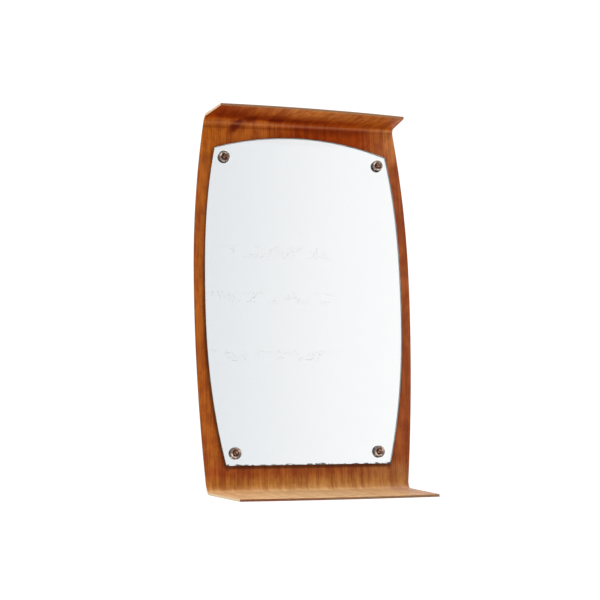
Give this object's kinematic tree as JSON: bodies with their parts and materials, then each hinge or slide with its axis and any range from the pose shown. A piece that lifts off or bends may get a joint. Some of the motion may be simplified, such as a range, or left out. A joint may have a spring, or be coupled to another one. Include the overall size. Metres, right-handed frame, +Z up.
{
  "type": "wall mirror with shelf",
  "caption": "Wall-hung mirror in one bent plywood sheet with a canopy above and a shelf below; bowed sides, glass held by cup washers and slotted screws.",
  "frame": {"origin": "on the wall plane, on the centre line, halfway between the two inside corners where the sheet bends", "axes": "+X to the right of a person facing the mirror, +Y into the wall, +Z up; the mirror faces -Y"},
  "size_m": [0.4, 0.1965, 0.6846],
  "materials": {
    "teak_face": "oiled teak veneer, satin",
    "teak_back": "unpolished teak veneer, matt",
    "birch_core": "sawn birch plies, matt",
    "glass": "clear float glass, ground edge",
    "silvering": "silver coat with backing paint, specks of age",
    "cup_metal": "aged nickel plate, dulled",
    "screw_metal": "darkened brass",
    "zinc_steel": "zinc plated, satin",
    "soft_vinyl": "soft grey vinyl",
    "felt": "pressed wool felt"
  },
  "bodies": {
    "root": {"back_veneer": "teak_back", "back_washer_lower_left": "zinc_steel", "back_washer_lower_right": "zinc_steel", "back_washer_upper_left": "zinc_steel", "back_washer_upper_right": "zinc_steel", "core_ply_1": "birch_core", "core_ply_2": "birch_core", "core_ply_3": "birch_core", "cup_washer_lower_left": "cup_metal", "cup_washer_lower_right": "cup_metal", "cup_washer_upper_left": "cup_metal", "cup_washer_upper_right": "cup_metal", "face_veneer": "teak_face", "hanger_plate_left": "zinc_steel", "hanger_plate_right": "zinc_steel", "hanger_screw_left_inner": "zinc_steel", "hanger_screw_left_outer": "zinc_steel", "hanger_screw_right_inner": "zinc_steel", "hanger_screw_right_outer": "zinc_steel", "hole_sleeve_lower_left": "soft_vinyl", "hole_sleeve_lower_right": "soft_vinyl", "hole_sleeve_upper_left": "soft_vinyl", "hole_sleeve_upper_right": "soft_vinyl", "mirror_glass": "glass", "mirror_screw_lower_left": "screw_metal", "mirror_screw_lower_right": "screw_metal", "mirror_screw_upper_left": "screw_metal", "mirror_screw_upper_right": "screw_metal", "screw_nut_lower_left": "zinc_steel", "screw_nut_lower_right": "zinc_steel", "screw_nut_upper_left": "zinc_steel", "screw_nut_upper_right": "zinc_steel", "silver_coat": "silvering", "spacer_lower_left": "soft_vinyl", "spacer_lower_right": "soft_vinyl", "spacer_upper_left": "soft_vinyl", "spacer_upper_right": "soft_vinyl", "wall_pad_left": "felt", "wall_pad_right": "felt"}
  },
  "joints": []
}
